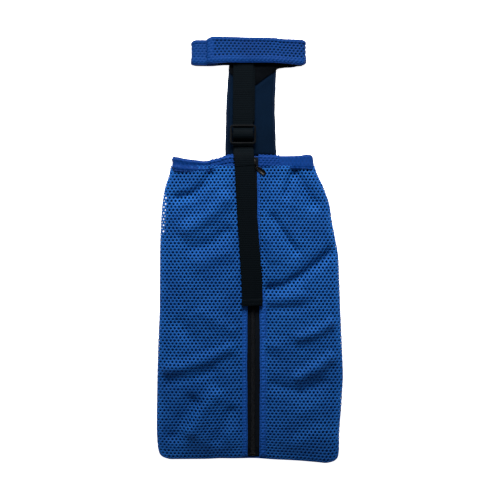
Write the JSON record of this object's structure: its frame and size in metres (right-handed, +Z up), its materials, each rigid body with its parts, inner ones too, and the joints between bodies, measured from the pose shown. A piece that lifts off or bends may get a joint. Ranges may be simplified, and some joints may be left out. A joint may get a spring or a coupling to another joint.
{
  "type": "pet drag bag",
  "caption": "Mesh drag bag for the hindquarters of a small dog or cat, with a front zipper, chest panel, hook-and-loop neck collar and adjustable back strap, laid flat.",
  "frame": {"origin": "centre of the bounding box on the ground, in the middle of the bag's base cloth", "axes": "+X to the bag's right, +Y from the closed end to the neck collar, +Z up off the ground"},
  "size_m": [0.23, 0.5338, 0.0149],
  "materials": {
    "mesh": "warp-knit air mesh with round holes, slight sheen",
    "mesh_hem": "folded and topstitched mesh",
    "base_cloth": "plain woven wear cloth, matt",
    "navy_cloth": "dark navy knitted cloth, matt",
    "navy_binding": "folded edge binding, matt",
    "padding": "thin spacer padding",
    "webbing": "ribbed flat polypropylene webbing",
    "elastic": "flat woven elastic",
    "zip_tape": "fine woven zipper tape",
    "zip_coil": "nylon coil, satin",
    "zip_metal": "dark painted zinc, worn at the edges",
    "hook_loop": "hook-and-loop pile",
    "buckle": "black acetal, semi-gloss"
  },
  "bodies": {
    "bag": {"base_cloth": "base_cloth", "back_mesh_panel": "mesh", "front_mesh_left": "mesh", "front_mesh_right": "mesh", "side_binding_left": "mesh_hem", "side_binding_right": "mesh_hem", "bottom_binding": "mesh_hem", "rim_casing_left": "mesh_hem", "rim_casing_right": "mesh_hem", "rim_casing_back": "mesh_hem", "rim_elastic_left": "elastic", "rim_elastic_right": "elastic", "rim_elastic_back": "elastic", "zipper_coil_left": "zip_coil", "zipper_coil_right": "zip_coil", "zipper_tape_left": "zip_tape", "zipper_tape_right": "zip_tape", "zipper_top_stops": "zip_metal", "zipper_bottom_stop": "zip_metal"},
    "zip_slider": {"zipper_slider": "zip_metal", "zipper_link": "zip_metal"},
    "zip_pull": {"zipper_pull": "zip_metal"},
    "strap_tail": {"strap_tail": "webbing", "strap_tail_hem": "webbing"},
    "harness": {"chest_panel_outer": "navy_cloth", "chest_panel_padding": "padding", "chest_panel_lining": "navy_cloth", "chest_binding_left": "navy_binding", "chest_binding_right": "navy_binding", "chest_panel_fold": "navy_cloth", "collar_band": "mesh", "collar_lining": "navy_cloth", "collar_left_fold": "mesh", "collar_tab_fold": "mesh", "back_strap": "webbing", "strap_buckle_run": "webbing", "strap_bridge": "webbing", "adjuster_loop": "webbing"},
    "tri_glide": {"tri_glide": "buckle"},
    "collar_tab": {"collar_tab": "mesh", "collar_hook_patch": "hook_loop"},
    "collar_under_flap": {"collar_under_flap": "mesh", "collar_loop_patch": "hook_loop"}
  },
  "joints": [
    {"name": "zip_slide", "type": "slide", "parent": "bag", "child": "zip_slider", "axis": [0, -1, 0], "range_m": [0, 0.342]},
    {"name": "zip_pull_lift", "type": "hinge", "parent": "zip_slider", "child": "zip_pull", "pos_m": [0.0092, 0.1022, 0.0106], "axis": [-0.6157, -0.788, 0], "range_deg": [0, 100]},
    {"name": "strap_tail_lift", "type": "hinge", "parent": "bag", "child": "strap_tail", "pos_m": [0, 0.106, 0.0119], "axis": [-1, 0, 0], "range_deg": [0, 80]},
    {"name": "chest_panel_lift", "type": "hinge", "parent": "bag", "child": "harness", "pos_m": [0, 0.1197, 0.00135], "axis": [1, 0, 0], "range_deg": [0, 75], "deforming": ["chest_panel_fold", "strap_bridge", "adjuster_loop"]},
    {"name": "tri_glide_tilt", "type": "hinge", "parent": "harness", "child": "tri_glide", "pos_m": [0, 0.1438, 0.0098], "axis": [1, 0, 0], "range_deg": [0, 12], "deforming": ["strap_buckle_run"]},
    {"name": "collar_tab_lift", "type": "hinge", "parent": "harness", "child": "collar_tab", "pos_m": [-0.024, 0.249, 0.0114], "axis": [0, 1, 0], "range_deg": [0, 120], "deforming": ["collar_tab_fold"]},
    {"name": "collar_flap_lift", "type": "hinge", "parent": "harness", "child": "collar_under_flap", "pos_m": [-0.06695, 0.249, 0.00555], "axis": [0, -1, 0], "range_deg": [0, 66], "deforming": ["collar_left_fold"]}
  ],
  "couplings": [
    {"joint": "collar_flap_lift", "follows": "collar_tab_lift", "ratio": 0.55}
  ]
}
